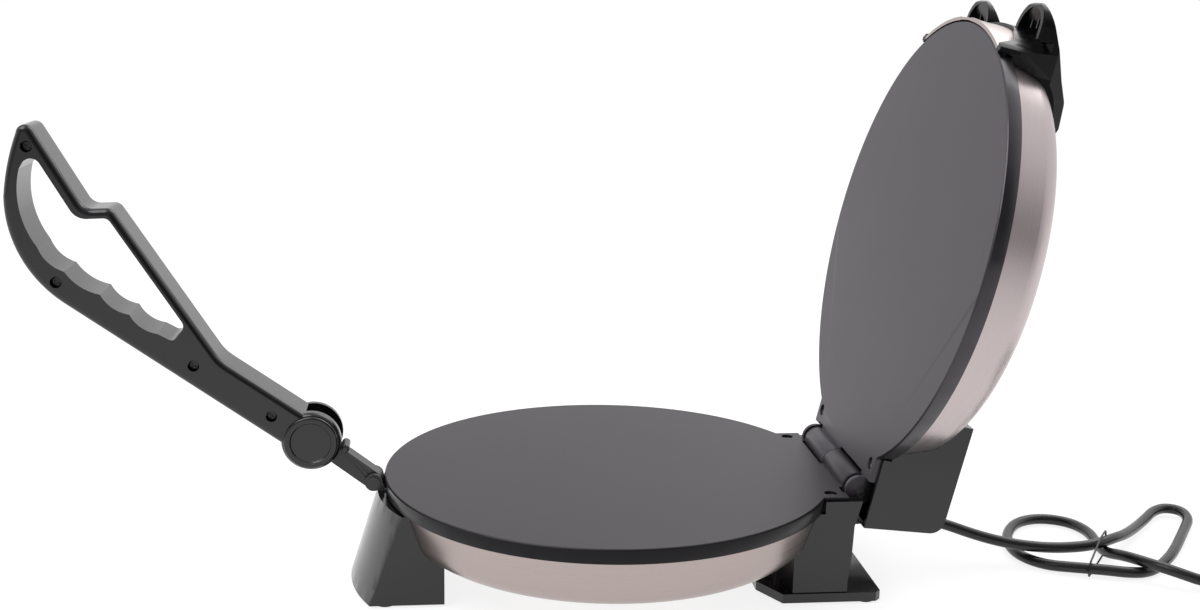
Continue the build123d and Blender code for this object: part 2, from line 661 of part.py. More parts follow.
def link_pin():
    reach = BAR_HALF + CHEEK_GAP + CHEEK_T
    pin = x_cyl(LINK_PIN_R, -reach, reach, LINK_PIVOT_Y, LINK_PIVOT_Z)
    for side in (-1, 1):
        inner = side * reach
        outer = side * (reach + 1.0)
        pin += x_cyl(LINK_PIN_R + 1.0, min(inner, outer), max(inner, outer), LINK_PIVOT_Y, LINK_PIVOT_Z)
    return pin


def direction(angle):
    return math.cos(math.radians(angle)), math.sin(math.radians(angle))


LINK_Y, LINK_Z = direction(LINK_ANGLE)
HUB_Y = LINK_PIVOT_Y + LINK_LENGTH * LINK_Y
HUB_Z = LINK_PIVOT_Z + LINK_LENGTH * LINK_Z


def link_place(shape):
    """Place a shape drawn about the hub with +Y up the bar's top side, towards the bracket along +X."""
    plane = Plane(origin=(0, HUB_Y, HUB_Z), x_dir=(0, -LINK_Y, -LINK_Z), z_dir=(1, 0, 0))
    return plane.location * shape


def link_bar():
    body = Pos(LINK_LENGTH / 2, 0, 0) * Box(LINK_LENGTH, BAR_HEIGHT, 2 * BAR_HALF)
    body += Cylinder(BAR_HUB_END_R, 2 * BAR_HALF)
    body += Pos(LINK_LENGTH, 0, 0) * Cylinder(BAR_PIVOT_END_R, 2 * BAR_HALF)
    body -= Cylinder(AXLE_R + RUN_FIT, 4 * BAR_HALF)
    body -= Pos(LINK_LENGTH, 0, 0) * Cylinder(LINK_PIN_R + RUN_FIT, 4 * BAR_HALF)
    body -= Pos(STOP_PIN_ALONG, STOP_PIN_UP, 0) * Cylinder(STOP_PIN_R, 4 * BAR_HALF)
    return link_place(body)


def stop_pin():
    pin = Cylinder(STOP_PIN_R, 2 * STOP_PIN_HALF)
    pin = fillet(pin.edges().filter_by(GeomType.CIRCLE), STOP_PIN_ROUND)
    return link_place(Pos(STOP_PIN_ALONG, STOP_PIN_UP, 0) * pin)


# ================================================================= handle
# Drawn in the plane (u, w): u runs from the hub to the tip, w points to the upper side.
HANDLE_Y, HANDLE_UP = direction(HANDLE_ANGLE)
HANDLE_W = 9.8            # half height of the handle's root below its axis
ROOT_TOP = 10.9
SCALLOPS = [(100.8, 4.6), (118.4, 5.1), (136.7, 5.6), (158.3, 5.5), (176.2, 8.6)]
SCALLOP_DEPTH = 2.2


def handle_place(shape):
    plane = Plane(
        origin=(0, HUB_Y, HUB_Z), x_dir=(0, HANDLE_Y, HANDLE_UP), z_dir=(-1, 0, 0)
    )
    return plane.location * shape


def on_hub(u_sign, w):
    return u_sign * math.sqrt(FORK_R ** 2 - w ** 2), w


def handle_outline():
    """Closed outline of the handle, hub end round, tip curled up."""
    top_start = on_hub(1, ROOT_TOP)
    bottom_start = on_hub(1, -HANDLE_W)
    tip = [(204.9, 20.7), (212.4, 36.6), (217.6, 53.0)]
    crest = (211.6, 59.4)
    top = FilletPolyline(
        [crest, (168.0, 39.2), (157.0, 47.6), (65.7, 10.6), top_start],
        radius=[7.0, 5.0, 25.0],
    )
    hub = ThreePointArc(top_start, (-FORK_R, 0), bottom_start)
    bottom = Line(bottom_start, (150.0, -HANDLE_W))
    belly = ThreePointArc((150.0, -HANDLE_W), (181.0, -1.6), tip[0])
    curl = ThreePointArc(*tip)
    nose = ThreePointArc(tip[2], (216.8, 58.4), crest)
    edges = top.edges() + hub.edges() + bottom.edges() + belly.edges() + curl.edges()
    return make_face(edges + nose.edges())


def grip_opening():
    """Closed outline of the hand opening with its finger scallops."""
    right_top = (205.8, 38.5)
    top = FilletPolyline(
        [right_top, (206.8, 50.4), (168.3, 32.6), (155.6, 42.4), (91.2, 16.2), (91.6, 5.6), SCALLOPS[0]],
        radius=[5.0, 9.0, 4.0, 4.2, 3.2],
    )
    edges = top.edges()
    for (u0, w0), (u1, w1) in zip(SCALLOPS, SCALLOPS[1:]):
        middle = ((u0 + u1) / 2, (w0 + w1) / 2 - SCALLOP_DEPTH)
        edges += ThreePointArc((u0, w0), middle, (u1, w1)).edges()
    edges += ThreePointArc(SCALLOPS[-1], (193.6, 19.6), right_top).edges()
    return make_face(edges)


def handle_body():
    """Both mouldings of the handle as one form, before the seam is cut."""
    outline = Pos(0, 0, -HANDLE_HALF) * extrude(handle_outline(), amount=2 * HANDLE_HALF)
    outer = outline.edges().group_by(Axis.Z)
    outline = fillet(outer[0] + outer[-1], HANDLE_EDGE)
    opening = Pos(0, 0, -20) * extrude(grip_opening(), amount=40)
    body = outline - opening
    fork = Pos(0, 0, 0) * Box(2 * FORK_DEPTH, 60, 2 * FORK_HALF)
    fork += Pos(-20, 0, 0) * Box(40, 60, 2 * FORK_HALF)
    body -= fork
    for side in (-1, 1):
        pocket = Cylinder(HUB_POCKET_R, HUB_POCKET)
        body -= Pos(0, 0, side * (HANDLE_HALF - HUB_POCKET / 2)) * pocket
    body -= Cylinder(AXLE_R, 4 * HANDLE_HALF)
    for u, w in HANDLE_SCREWS:
        body -= Pos(u, w, 0) * Cylinder(SCREW_CORE_R, 2 * HANDLE_HALF - 8)
        body -= Pos(u, w, -HANDLE_HALF + SCREW_SINK / 2) * Cylinder(HANDLE_SCREW_R, SCREW_SINK)
    return body




def handle_halves():
    """Near half (+X) and far half, split at the seam; the plane's +Z is -X."""
    body = handle_body()
    near = body & (Pos(100, 0, -SEAM_X - 50) * Box(400, 300, 100))
    far = body & (Pos(100, 0, -SEAM_X + 50) * Box(400, 300, 100))
    return handle_place(near), handle_place(far)


def handle_screws():
    group = []
    for u, w in HANDLE_SCREWS:
        one = screw(HANDLE_SCREW_R - 0.3, 2.0, SCREW_CORE_R - 0.1, 16.0)
        one -= Pos(0, 0, -2.0) * (Box(3.4, 0.8, 1.6) + Box(0.8, 3.4, 1.6))
        group.append(handle_place(Pos(u, w, -HANDLE_HALF + SCREW_SINK) * one))
    return Compound(children=group)


def hub_caps():
    """Dished round caps that close both sides of the hub."""
    caps = []
    height = HUB_OUT - HANDLE_HALF + HUB_POCKET
    for side in (-1, 1):
        cap = Cylinder(HUB_CAP_R, height)
        top = cap.edges().group_by(Axis.Z)[-1]
        cap = fillet(top, 1.2)
        cap -= Pos(0, 0, height / 2 - HUB_DISH / 2) * Cone(HUB_DISH_R - 0.6, HUB_DISH_R, HUB_DISH)
        turn = Rot(180, 0, 0) if side < 0 else Rot(0, 0, 0)
        caps.append(handle_place(Pos(0, 0, side * (HUB_OUT - height / 2)) * turn * cap))
    return Compound(children=caps)


def hub_axle():
    return handle_place(Cylinder(AXLE_R, 2 * (HANDLE_HALF - HUB_POCKET)))


def hub_washers():
    thick = FORK_HALF - BAR_HALF - 0.3
    washers = []
    for side in (-1, 1):
        ring = Cylinder(WASHER_R, thick) - Cylinder(AXLE_R + RUN_FIT, thick)
        washers.append(handle_place(Pos(0, 0, side * (FORK_HALF - thick / 2)) * ring))
    return Compound(children=washers)


# ================================================================= lid fittings
# Drawn in the lower half's place, then turned over with lid().
def lid_rear_cover():
    back = HINGE_Y + COVER_BACK
    top = depth(COVER_TOP_H)
    corners = [
        (HINGE_Y - COVER_FRONT, depth(COVER_RIM_H)),
        (back, depth(COVER_RIM_H)),
        (HINGE_Y + COVER_BACK_TOP, top),
        (HINGE_Y - COVER_FRONT, top),
    ]
    body = slab(side_face(corners, [0, 0, 8, 0]), -COVER_HALF, COVER_HALF)
    inner = [
        (HINGE_Y - COVER_FRONT + COVER_WALL, depth(0)),
        (back - COVER_WALL + 0.5, depth(0)),
        (HINGE_Y + COVER_BACK_TOP - COVER_WALL, top + COVER_WALL),
        (HINGE_Y - COVER_FRONT + COVER_WALL, top + COVER_WALL),
    ]
    side = COVER_HALF - COVER_WALL
    body -= slab(side_face(inner, [0, 0, 6, 0]), -side, side)
    body += cone_boss(COVER_SCREWS, 8.0)
    body -= shell_body(FOOT_SEAT, 0)
    tab_y = HINGE_Y - TAB_EDGE + SEAT_GAP
    body -= block(-80, 80, 0, tab_y, depth(SKIRT_DEPTH), PLATE_TOP)
    wrap_low = depth(SKIRT_DEPTH + 1)
    wrap = block(TAB_HALF + SEAT_GAP, COVER_HALF, 100, tab_y, wrap_low, depth(COVER_RIM_H))
    wrap -= cyl(PLATE_R + SEAT_GAP, wrap_low - 1, PLATE_TOP)
    body += wrap
    body += mirror(wrap, Plane.YZ)
    for x in (-TAB_SCREW_X, TAB_SCREW_X):
        y = HINGE_Y - TAB_SCREW_TO_HINGE
        edge = math.copysign(side + 0.5, x)
        body += cyl(REAR_BOSS_R, 36, depth(SKIRT_DEPTH), x, y)
        body += block(min(x, edge), max(x, edge), y - 1, y + 1, 36, depth(SKIRT_DEPTH))
        body -= cyl(M4_SHANK_R, 39, depth(SKIRT_DEPTH), x, y)
    body -= cone_holes(COVER_SCREWS, SHORT_HOLE)
    return body



def sector(inner, outer, half_angle, h_low, h_high):
    """Ring sector about the plate axis, centred on the front."""
    ring = cyl(outer, depth(h_high), depth(h_low)) - cyl(inner, depth(h_high), depth(h_low))
    wide = 3 * outer
    edge = math.radians(half_angle)
    x, y = wide * math.sin(edge), -wide * math.cos(edge)
    wedge = make_face(Polyline((0, 0), (x, y), (-x, y), close=True))
    return ring & extrude(wedge, amount=PLATE_TOP)


def front_band():
    band = sector(BAND_R, BAND_R + BAND_T, BAND_HALF_ANGLE, 0, BAND_H)
    hem = sector(BAND_R - 0.2, BAND_R + BAND_T + HEM_EXTRA, BAND_HALF_ANGLE, 0, HEM_H)
    hem -= block(-HEM_NOTCH_HALF, HEM_NOTCH_HALF, -200, 0, depth(HEM_H), PLATE_TOP)
    return band + hem


def saddle_front_form():
    """The saddle as seen from the front: arms down to the rim, body above."""
    right = [(58.0, 0.0), (62.0, 0.0), (62.0, 11.5), (ARM_SIDE, BAND_H + 0.5)]
    right += [(SADDLE_HALF, ARM_TOP_H), (TAIL_HALF, 60.0)]
    left = [(-x, h) for x, h in reversed(right)]
    inner = [(-50.0, 11.0), (-EAR_GAP_HALF, 19.5), (EAR_GAP_HALF, 19.5), (50.0, 11.0)]
    points = [(x, -200, depth(h)) for x, h in right + left + inner]
    return extrude(make_face(Polyline(points, close=True)), amount=200, dir=(0, 1, 0))


EAR_SIDE = [
    (124.0, 20.5), (142.0, 20.5), (EAR_TOP_R, 22.6), (138.2, 25.0), (128.7, 30.0),
    (106.7, 41.5), (96.0, 48.2), (82.0, 49.8), (75.0, 46.0), (75.0, 30.0), (124.0, 30.0),
]
EAR_SIDE_RADII = [0, 0.9, 0.9, 4.0, 15.0, 8.0, 8.0, 4.0, 2.0, 0, 0]


def ear_arch(inset):
    """Arch of one ear seen from the plate side, at x > 0, as an upright prism."""
    left = EAR_GAP_HALF + inset
    right = SADDLE_HALF - inset
    peak = EAR_TOP_R - inset
    base = -60.0
    inner = (EAR_PEAK_X - left, peak - EAR_IN_Y)
    outer = (right - EAR_PEAK_X, peak - EAR_OUT_Y)
    arch = EllipticalCenterArc((EAR_PEAK_X, -EAR_IN_Y), *inner, 180, arc_size=90)
    arch += EllipticalCenterArc((EAR_PEAK_X, -EAR_OUT_Y), *outer, 270, arc_size=90)
    sides = Polyline((right, -EAR_OUT_Y), (right, base), (left, base), (left, -EAR_IN_Y))
    return extrude(make_face(arch.edges() + sides.edges()), amount=PLATE_TOP)


def ear():
    side = [(-radius, depth(h)) for radius, h in EAR_SIDE]
    profile = slab(side_face(side, EAR_SIDE_RADII), EAR_GAP_HALF, SADDLE_HALF)
    fin = profile & ear_arch(0) & saddle_front_form()
    front = depth(EAR_SIDE[0][1])
    scoop = ear_arch(EAR_WALL) & block(0, 80, -160, -100, front - EAR_SCOOP, PLATE_TOP)
    scoop = scoop & (Pos(0, 0, EAR_WALL) * profile)
    fin -= scoop - cyl(ARM_OUT_R, 0, PLATE_TOP)
    middle = (EAR_GAP_HALF + SADDLE_HALF) / 2
    for x in (middle - 4.0, middle + 4.0):
        fin += block(x - 0.6, x + 0.6, -138.0, -130.0, front - EAR_SCOOP - 0.5, front - 3.0)
    return fin


def lid_saddle():
    plates = sector(BAND_R + BAND_T + SADDLE_SEAT, ARM_OUT_R, 30.0, 0, ARM_TOP_H)
    ends = sector(PLATE_R + SEAT_GAP, ARM_OUT_R, ARM_END_ANGLE, 0, ARM_TOP_H)
    ends -= sector(0, 200, BAND_HALF_ANGLE + 0.3, 0, BAND_H + 2)
    roof = cyl(ARM_OUT_R, depth(50), depth(BAND_H + SADDLE_SEAT))
    front_part = block(-SADDLE_HALF, SADDLE_HALF, -150, -88, depth(50), depth(BAND_H + SADDLE_SEAT))
    web = shell_body(SADDLE_SEAT + WEB_T, 0) & roof & front_part
    low_r = SHELL_CORNER_R - 5
    corner = sector(low_r, ARM_OUT_R, ARM_END_ANGLE, SKIRT_DEPTH + SEAT_GAP, ARM_TOP_H)
    corner -= sector(0, 200, LOW_BODY_ANGLE, 0, 60)
    body = (plates + ends + corner) & saddle_front_form()
    body -= block(-EAR_GAP_HALF, EAR_GAP_HALF, -150, -100, 0, depth(BAND_H + 2))
    body = body + web
    fin = ear()
    body = body + fin + mirror(fin, Plane.YZ)
    body -= shell_body(SADDLE_SEAT, SKIRT_DEPTH)
    band_out = BAND_R + BAND_T + SADDLE_SEAT
    body -= sector(BAND_R - SADDLE_SEAT, band_out, BAND_HALF_ANGLE + 0.2, 0, BAND_H + 0.2)
    hem_r = BAND_R + BAND_T + HEM_EXTRA + SADDLE_SEAT
    body -= sector(BAND_R, hem_r, BAND_HALF_ANGLE + 0.2, 0, HEM_H + SADDLE_SEAT)
    body -= cyl(PLATE_R + SEAT_GAP, depth(SKIRT_DEPTH), PLATE_TOP)
    body -= cone_holes(SADDLE_SCREWS, SHORT_HOLE)
    return body


# ================================================================= wiring in the base
GROMMET_BORE = 3.4
GROMMET_DIP = 0.25        # the shell's curve under a flat flange
WIRE_TOP_H = ELEMENT_H + TERMINAL_R


WIRE_X = (-9.0, 0.0, 9.0)


def terminal_block():
    y = (TERMINAL_FRONT_Y + TERMINAL_BACK_Y) / 2
    body = block(
        -TERMINAL_HALF, TERMINAL_HALF, TERMINAL_FRONT_Y, TERMINAL_BACK_Y,
        TERMINAL_LOW_Z, TERMINAL_HIGH_Z,
    )
    for x in WIRE_X:
        body -= cyl(WIRE_R + 0.1, TERMINAL_HIGH_Z - 5, TERMINAL_HIGH_Z, x, y - 2)
    return body




def wire_grommet():
    """Rubber bush that lines the wires' hole in the lower shell."""
    inside = -SHELL_WALL - GROMMET_DIP
    lip = GROMMET_R + GROMMET_LIP
    bush = cyl(GROMMET_R, inside, 0) + cyl(lip, 0, GROMMET_LIP_T)
    bush += cyl(lip, inside - GROMMET_LIP_T, inside)
    return on_cone(*GROMMET_AT, bush - cyl(GROMMET_BORE, -4, 4))


def wire(points, radii):
    """Round wire along straight runs with rounded bends."""
    path = FilletPolyline(points, radius=radii)
    section = Plane(origin=path @ 0, z_dir=path % 0) * Circle(WIRE_R)
    return sweep(section, path=path)


def lower_wiring():
    """Three leads from the terminal block through the grommet to the parts above."""
    y = (TERMINAL_FRONT_Y + TERMINAL_BACK_Y) / 2 - 2
    low = TERMINAL_HIGH_Z - 5
    gx, gy = 0.0, GROMMET_AT[0]
    gz = depth(cone_depth(GROMMET_AT[0]))
    pin_z = depth(WIRE_TOP_H)
    blade_z = depth(PLATE_THICK + THERMOSTAT_H + 3)
    leads = []
    for x, dx, end in ((-9.0, -1.7, (-8.0, 85.0, pin_z)), (9.0, 1.7, (8.0, 85.0, pin_z))):
        points = [(x, y, low), (x, y, gz - 3.5), (gx + dx, gy, gz - 2), (gx + dx, gy - 1, gz + 6)]
        points += [(end[0], end[1] + 1, gz + 12), end]
        leads.append(wire(points, [1.6, 2.0, 2.0, 4.0]))
    points = [(0, y, low), (0, y, gz - 4.2), (0, gy + 1.7, gz - 2), (0, gy + 0.6, gz + 5)]
    points += [(0, 84, gz + 15), (9, 70, blade_z - 1), (9, 28, blade_z), (3.1, 9, blade_z), (3.1, 0, blade_z)]
    leads.append(wire(points, [1.6, 2.0, 3.0, 6.0, 6.0, 6.0, 6.0]))
    return Compound(children=leads)


def upper_wiring():
    """Leads from the thermostat to both terminals, before the lid is turned over."""
    blade_z = depth(PLATE_THICK + THERMOSTAT_H + 3)
    leads = []
    for side in (-1, 1):
        points = [(side * 8.0, 85.0, depth(WIRE_TOP_H)), (side * 8.0, 84.0, blade_z + 1)]
        points += [(side * 9.0, 70, blade_z - 1), (side * 9.0, 28, blade_z)]
        points += [(side * 3.1, 9, blade_z), (side * 3.1, 0, blade_z)]
        leads.append(wire(points, [3.0, 6.0, 6.0, 6.0]))
    return Compound(children=leads)


def thermal_fuse():
    """Thermal fuse held flat against the plate's underside."""
    body = Rot(0, 90, 0) * Cylinder(FUSE_R, FUSE_LENGTH)
    return Pos(0, -POST_R_POS, depth(PLATE_THICK + FUSE_R)) * body


# ================================================================= cord
RELIEF_R = RELIEF_HOLE_R - 0.1
RELIEF_TIP_R = CORD_D / 2 + 0.9
CORD_START_Y = REAR_BACK_LOW_Y + RELIEF_LENGTH
LAY = CORD_D / 2 + TABLE_LIFT
CORD_POINTS = [
    (0, CORD_START_Y, CORD_EXIT_Z), (0, 177, CORD_EXIT_Z), (0, 200, 24.0), (-1, 221, 17.4),
    (0, 241, 11.6), (4, 260, 10.3), (10, 277, 10.2), (10, 294, 11.4), (2, 309, 11.2),
    (-10, 323, 7.4), (-25, 336, 3.8), (-41, 346, LAY), (-55, 354, LAY), (-66, 363, LAY),
    (-70, 374, LAY), (-64, 384, LAY), (-52, 386, LAY), (-37, 376, LAY), (-17, 361, LAY),
    (3, 345, LAY), (20, 331, LAY), (32, 318, LAY), (37, 303, 4.6), (33, 287, 4.6),
    (28, 271, 4.4), (19, 258, LAY), (4, 249, LAY), (-15, 247, LAY), (-33, 255, LAY),
    (-48, 269, LAY), (-54, 286, LAY), (-46, 301, LAY), (-29, 307, 3.6), (-11, 303, 4.6),
    (7, 300, 4.6), (24, 304, 9.2), (39, 312, 10.4), (50, 324, 9.0), (57, 340, 4.6),
]
COIL_X = 95.5
COIL_Y = 372.0
COIL_MEAN_R = 35.0
COIL_HALF_WIDTH = CORD_D + 0.2
COIL_HIGH_Z = 2 * CORD_D - 0.6
PLUG_AT = (4.0, 419.0)
PLUG_LENGTH = 34.0
UPPER_TURN_Z = 8.8
TAIL_BEND = [(56.5, 406, 5.5), (47, 415, 4.2), (34, 419, 10.0 + TABLE_LIFT)]
PLUG_WIDTH = 26.0
PLUG_HEIGHT = 20.0


def corner_radii(points):
    """Arc radius at each inner corner: 0.45 of the shorter run over tan(half turn)."""
    radii = []
    for a, b, c in zip(points, points[1:], points[2:]):
        run_in = Vector(*b) - Vector(*a)
        run_out = Vector(*c) - Vector(*b)
        half_turn = math.radians(run_in.get_angle(run_out)) / 2
        radii.append(0.45 * min(run_in.length, run_out.length) / math.tan(half_turn))
    return radii


def cord_tube(points):
    radii = corner_radii(points)
    print("cord radii", [round(r, 1) for r in radii])
    path = FilletPolyline(points, radius=radii)
    section = Plane(origin=path @ 0, z_dir=path % 0) * Circle(CORD_D / 2)
    tube = sweep(section, path=path)
    expected = math.pi * CORD_D ** 2 / 4 * path.length
    print("tube length", round(path.length, 1), "volume ratio", round(tube.volume / expected, 4))
    return tube


def power_cord():
    """Free cord from the strain relief over the table to the coil's edge."""
    entry = (COIL_X - COIL_MEAN_R - COIL_HALF_WIDTH + CORD_D / 2, COIL_Y - 14.0, LAY)
    return cord_tube(CORD_POINTS + [entry]) - coil_form()


def coil_form():
    inner = COIL_MEAN_R - COIL_HALF_WIDTH
    ring = Cylinder(COIL_MEAN_R + COIL_HALF_WIDTH, COIL_HIGH_Z) - Cylinder(inner, COIL_HIGH_Z)
    ring = fillet(ring.edges().group_by(Axis.Z)[-1], 3.0)
    return Pos(COIL_X, COIL_Y, TABLE_LIFT + COIL_HIGH_Z / 2) * ring


def tie_band(x_low, x_high, y, length, z_low, z_high, wall):
    """Flat band that wraps a bundle lying across it."""
    outer = block(x_low - wall, x_high + wall, y - length / 2, y + length / 2, z_low - wall, z_high + wall)
    return outer - block(x_low, x_high, y - length, y + length, z_low, z_high)


def coil_tie():
    x = COIL_X + COIL_MEAN_R
    band = tie_band(
        x - COIL_HALF_WIDTH - 0.2, x + COIL_HALF_WIDTH + 0.2, COIL_Y, 4.0,
        TABLE_LIFT, TABLE_LIFT + COIL_HIGH_Z + 0.2, 0.8,
    )
    return band - block(0, 200, 0, 500, -5, TABLE_LIFT)


TIE_WIRE_R = 0.55
TIE_LOW = 0.65
TIE_AT = (7.0, 299.0)
TIE_TURN = -36.0          # direction of the tie across the strands, degrees


def cord_tie():
    """Loose wire tie round the three strands where the loops meet."""
    corners = [(-11.2, 5.2), (-9.0, TIE_LOW), (33.2, TIE_LOW), (35.8, 4.5), (31.2, 9.3)]
    corners += [(7.4, 15.9), (-8.0, 15.9)]
    cosine, sine = direction(TIE_TURN)
    x, y = TIE_AT
    points = [(x + along * cosine, y + along * sine, z) for along, z in corners]
    path = FilletPolyline(points, radius=[2, 2, 2, 2, 3, 3, 3], close=True)
    section = Plane(origin=path @ 0, z_dir=path % 0) * Circle(TIE_WIRE_R)
    return sweep(section, path=path)


def strain_relief():
    """Flanged bush in the rear wall with a tapered sleeve along the cord."""
    wall_back = REAR_BACK_LOW_Y + 0.4
    inside = REAR_BACK_LOW_Y - FOOT_WALL - 0.9
    profile = [
        (0, inside - 2.0), (6.5, inside - 2.0), (6.5, inside), (RELIEF_R, inside),
        (RELIEF_R, wall_back), (6.6, wall_back), (6.6, wall_back + 2.0),
        (RELIEF_R + 0.6, wall_back + 3.0), (RELIEF_TIP_R, CORD_START_Y), (0, CORD_START_Y),
    ]
    outline = make_face(Polyline([(0, y, CORD_EXIT_Z + r) for r, y in profile], close=True))
    sleeve = revolve(outline, Axis((0, 0, CORD_EXIT_Z), (0, 1, 0)), 360)
    for i in range(4):
        y = wall_back + 8.0 + i * 4.5
        groove = Cylinder(8, 1.4) - Cylinder(CORD_D / 2 + 1.3, 1.4)
        sleeve -= Pos(0, y, CORD_EXIT_Z) * Rot(90, 0, 0) * groove
    return sleeve


def plug():
    """Moulded three-pin plug at the cord's far end, its pins toward -X."""
    x, y = PLUG_AT
    body = Pos(x, y, TABLE_LIFT + PLUG_HEIGHT / 2) * Box(PLUG_LENGTH, PLUG_WIDTH, PLUG_HEIGHT)
    body = fillet(body.edges().filter_by(Axis.X), 5.0)
    body = chamfer(body.edges().group_by(Axis.X)[-1], 3.0)
    face = x - PLUG_LENGTH / 2
    z = TABLE_LIFT + PLUG_HEIGHT / 2
    for side in (-1, 1):
        body += block(face - 16, face, y + side * 6.3 - 3.1, y + side * 6.3 + 3.1, z + 2.2, z + 3.7)
    body += Pos(face - 8, y, z - 5.0) * Rot(0, 90, 0) * Cylinder(2.4, 17)
    return body


def cord_tail():
    """Cord from the coil's upper turn to the plug."""
    x, y = PLUG_AT
    end = (x + PLUG_LENGTH / 2, y, TABLE_LIFT + PLUG_HEIGHT / 2)
    side = COIL_X - COIL_MEAN_R - 1.0
    points = [(side, COIL_Y, UPPER_TURN_Z), (side, COIL_Y + 22, UPPER_TURN_Z)] + TAIL_BEND
    return cord_tube(points + [end]) - coil_form()


def hinge_pin():
    return x_cyl(PIN_R, -EAR_OUT, EAR_OUT - PIN_CAP - SEAT_GAP, HINGE_Y, HINGE_Z)


def both(name, shape):
    """Keep a piece that both halves have: once below, once turned over in the lid."""
    keep("lower_" + name, shape)
    keep("upper_" + name, lid(shape))


def build_base_and_lid():
    casting = cooking_plate()
    keep("lower_plate", bored(casting, True))
    keep("upper_plate", lid(bored(casting, False)))
    grommet_hole = on_cone(*GROMMET_AT, cyl(GROMMET_R + RUN_FIT, -4, 4))
    keep("lower_shell", dished_shell(FRONT_SCREWS + REAR_SCREWS) - grommet_hole)
    keep("upper_shell", lid(dished_shell(COVER_SCREWS + SADDLE_SCREWS)))
    both("heating_element", heating_element())
    both("element_clamp", element_clamp())
    both("clamp_screws", clamp_screws())
    both("posts", posts())
    both("heat_shield", heat_shield())
    both("shell_screws", shell_screws())
    both("thermostat", thermostat())
    keep("lower_tab_screws", tab_screws(SKIRT_DEPTH + 10))
    keep("upper_tab_screws", lid(tab_screws(SKIRT_DEPTH + 10)))


def build_base():
    keep("front_foot", front_foot())
    keep("rear_foot", rear_foot())
    keep("rubber_feet", rubber_feet())
    keep("foot_screws", cone_screws(FRONT_SCREWS + REAR_SCREWS, FOOT_HOLE - 0.5))
    keep("hinge_pin", hinge_pin())
    keep("link_bracket", link_bracket())
    keep("link_bracket_screws", link_bracket_screws())
    keep("link_pin", link_pin())
    keep("terminal_block", terminal_block())
    keep("wire_grommet", wire_grommet())
    keep("lower_wiring", lower_wiring())
    keep("thermal_fuse", thermal_fuse())
    keep("strain_relief", strain_relief())


def build_lid():
    keep("lid_rear_cover", lid(lid_rear_cover()))
    keep("front_band", lid(front_band()))
    keep("lid_saddle", lid(lid_saddle()))
    keep("lid_fitting_screws", lid(cone_screws(COVER_SCREWS + SADDLE_SCREWS, SHORT_HOLE)))
    keep("upper_wiring", lid(upper_wiring()))


def build_lever():
    keep("link_bar", link_bar())
    keep("stop_pin", stop_pin())
    near, far = handle_halves()
    keep("handle_near_half", near)
    keep("handle_far_half", far)
    keep("handle_screws", handle_screws())
    keep("hub_caps", hub_caps())
    keep("hub_axle", hub_axle())
    keep("hub_washers", hub_washers())


def build_cord():
    keep("power_cord", power_cord())
    keep("cord_tie", cord_tie())
    keep("cord_coil", coil_form())
    keep("coil_tie", coil_tie())
    keep("cord_tail", cord_tail())
    keep("plug", plug())


build_base_and_lid()
build_base()
build_lid()
build_lever()
build_cord()
os.makedirs("parts", exist_ok=True)
for node_name, node_shape in NODES.items():
    export_step(node_shape, os.path.join("parts", node_name + ".step"))
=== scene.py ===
"""Looks of the electric roti maker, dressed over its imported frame."""
import json
import math

import bpy
from mathutils import Matrix, Vector


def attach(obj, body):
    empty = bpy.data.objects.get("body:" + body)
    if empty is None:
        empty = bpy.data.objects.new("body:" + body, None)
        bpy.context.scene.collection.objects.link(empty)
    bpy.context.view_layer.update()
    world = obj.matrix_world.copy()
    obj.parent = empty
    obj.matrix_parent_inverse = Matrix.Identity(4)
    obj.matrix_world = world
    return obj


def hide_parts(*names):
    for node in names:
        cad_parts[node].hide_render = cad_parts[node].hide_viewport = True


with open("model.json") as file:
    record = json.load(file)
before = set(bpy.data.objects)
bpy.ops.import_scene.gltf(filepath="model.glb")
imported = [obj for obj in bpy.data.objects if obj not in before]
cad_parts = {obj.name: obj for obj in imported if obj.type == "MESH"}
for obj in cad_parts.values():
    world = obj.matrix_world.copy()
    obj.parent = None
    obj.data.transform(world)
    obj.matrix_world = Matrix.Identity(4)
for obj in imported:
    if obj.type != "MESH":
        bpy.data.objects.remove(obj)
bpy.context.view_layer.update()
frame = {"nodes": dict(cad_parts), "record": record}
NODES = frame["nodes"]
MM = 0.001
COLOUR_A, COLOUR_B, COLOUR_OUT = 6, 7, 2      # sockets of a mix node that mixes colours
NUMBER_A, NUMBER_B, NUMBER_OUT = 2, 3, 0      # sockets of a mix node that mixes numbers


# ---------------------------------------------------------------- camera
# It stands beside the machine, a little above it, and leans by a degree.
CAMERA_AT = Vector((0.80454, -0.09784, 0.33488))
CAMERA_BACK = Vector((0.97037, -0.11031, 0.21496)).normalized()
CAMERA_ROLL = math.radians(1.102)
CAMERA_LENS = 44.35


def make_camera():
    level = Vector((-CAMERA_BACK.y, CAMERA_BACK.x, 0)).normalized()
    up = CAMERA_BACK.cross(level)
    right = level * math.cos(CAMERA_ROLL) + up * math.sin(CAMERA_ROLL)
    top = up * math.cos(CAMERA_ROLL) - level * math.sin(CAMERA_ROLL)
    data = bpy.data.cameras.new("camera")
    data.sensor_width = 36
    data.lens = CAMERA_LENS
    data.clip_start = 0.02
    data.clip_end = 50
    camera = bpy.data.objects.new("camera", data)
    bpy.context.scene.collection.objects.link(camera)
    columns = Matrix((right, top, CAMERA_BACK)).transposed().to_4x4()
    columns.translation = CAMERA_AT
    camera.matrix_world = columns
    bpy.context.scene.camera = camera


